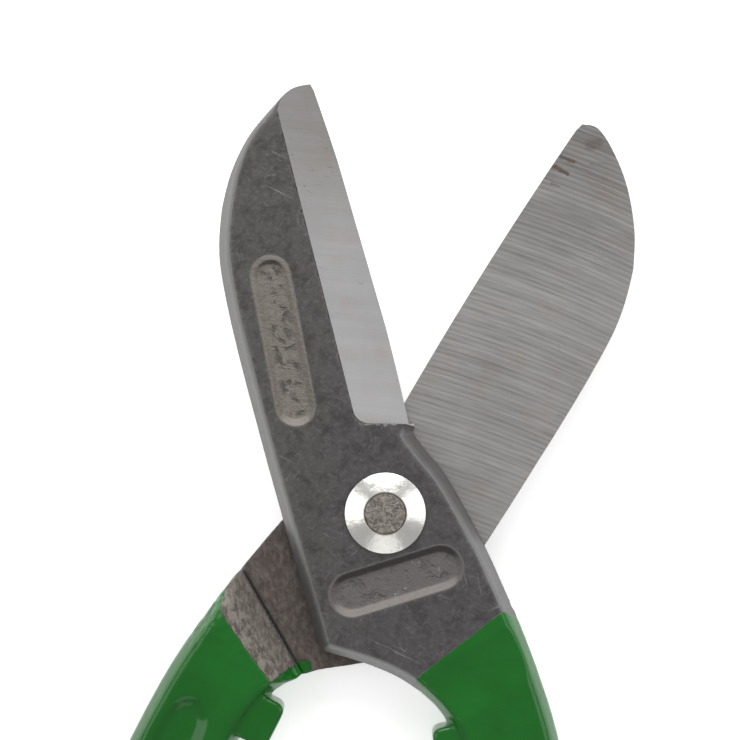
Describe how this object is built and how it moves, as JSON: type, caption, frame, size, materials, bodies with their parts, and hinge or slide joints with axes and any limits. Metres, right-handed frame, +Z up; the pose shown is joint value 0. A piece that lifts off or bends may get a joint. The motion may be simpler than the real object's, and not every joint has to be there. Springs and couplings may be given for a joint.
{
  "type": "tinner's snips",
  "caption": "Straight-cut forged tinner's snips: two halves on a riveted pivot, with bevelled washers, ground cutting edges and long channelled handles with stop lugs.",
  "frame": {"origin": "centre of the rivet's lower end, where the pivot axis meets the surface that the snips lie on", "axes": "+Z up along the pivot axis, +Y towards the jaws' tips along the closed snips' centre line, +X to the right seen from above; lying flat with the jaws open"},
  "size_m": [0.1743, 0.2911, 0.0168],
  "materials": {
    "forged_steel": "dark forged steel with ground edges; the handles are dipped in gloss green paint",
    "rivet_steel": "rough peened ends",
    "nickel_plate": "bright nickel plate, turned"
  },
  "bodies": {
    "front": {"front_half": "forged_steel", "pivot_rivet": "rivet_steel", "front_bevel_washer": "nickel_plate", "rear_bevel_washer": "nickel_plate"},
    "rear": {"rear_half": "forged_steel"}
  },
  "joints": [
    {"name": "blade_pivot", "type": "hinge", "parent": "front", "child": "rear", "pos_m": [0, 0, 0.0084], "axis": [0, 0, 1], "range_deg": [-50, 38]}
  ]
}
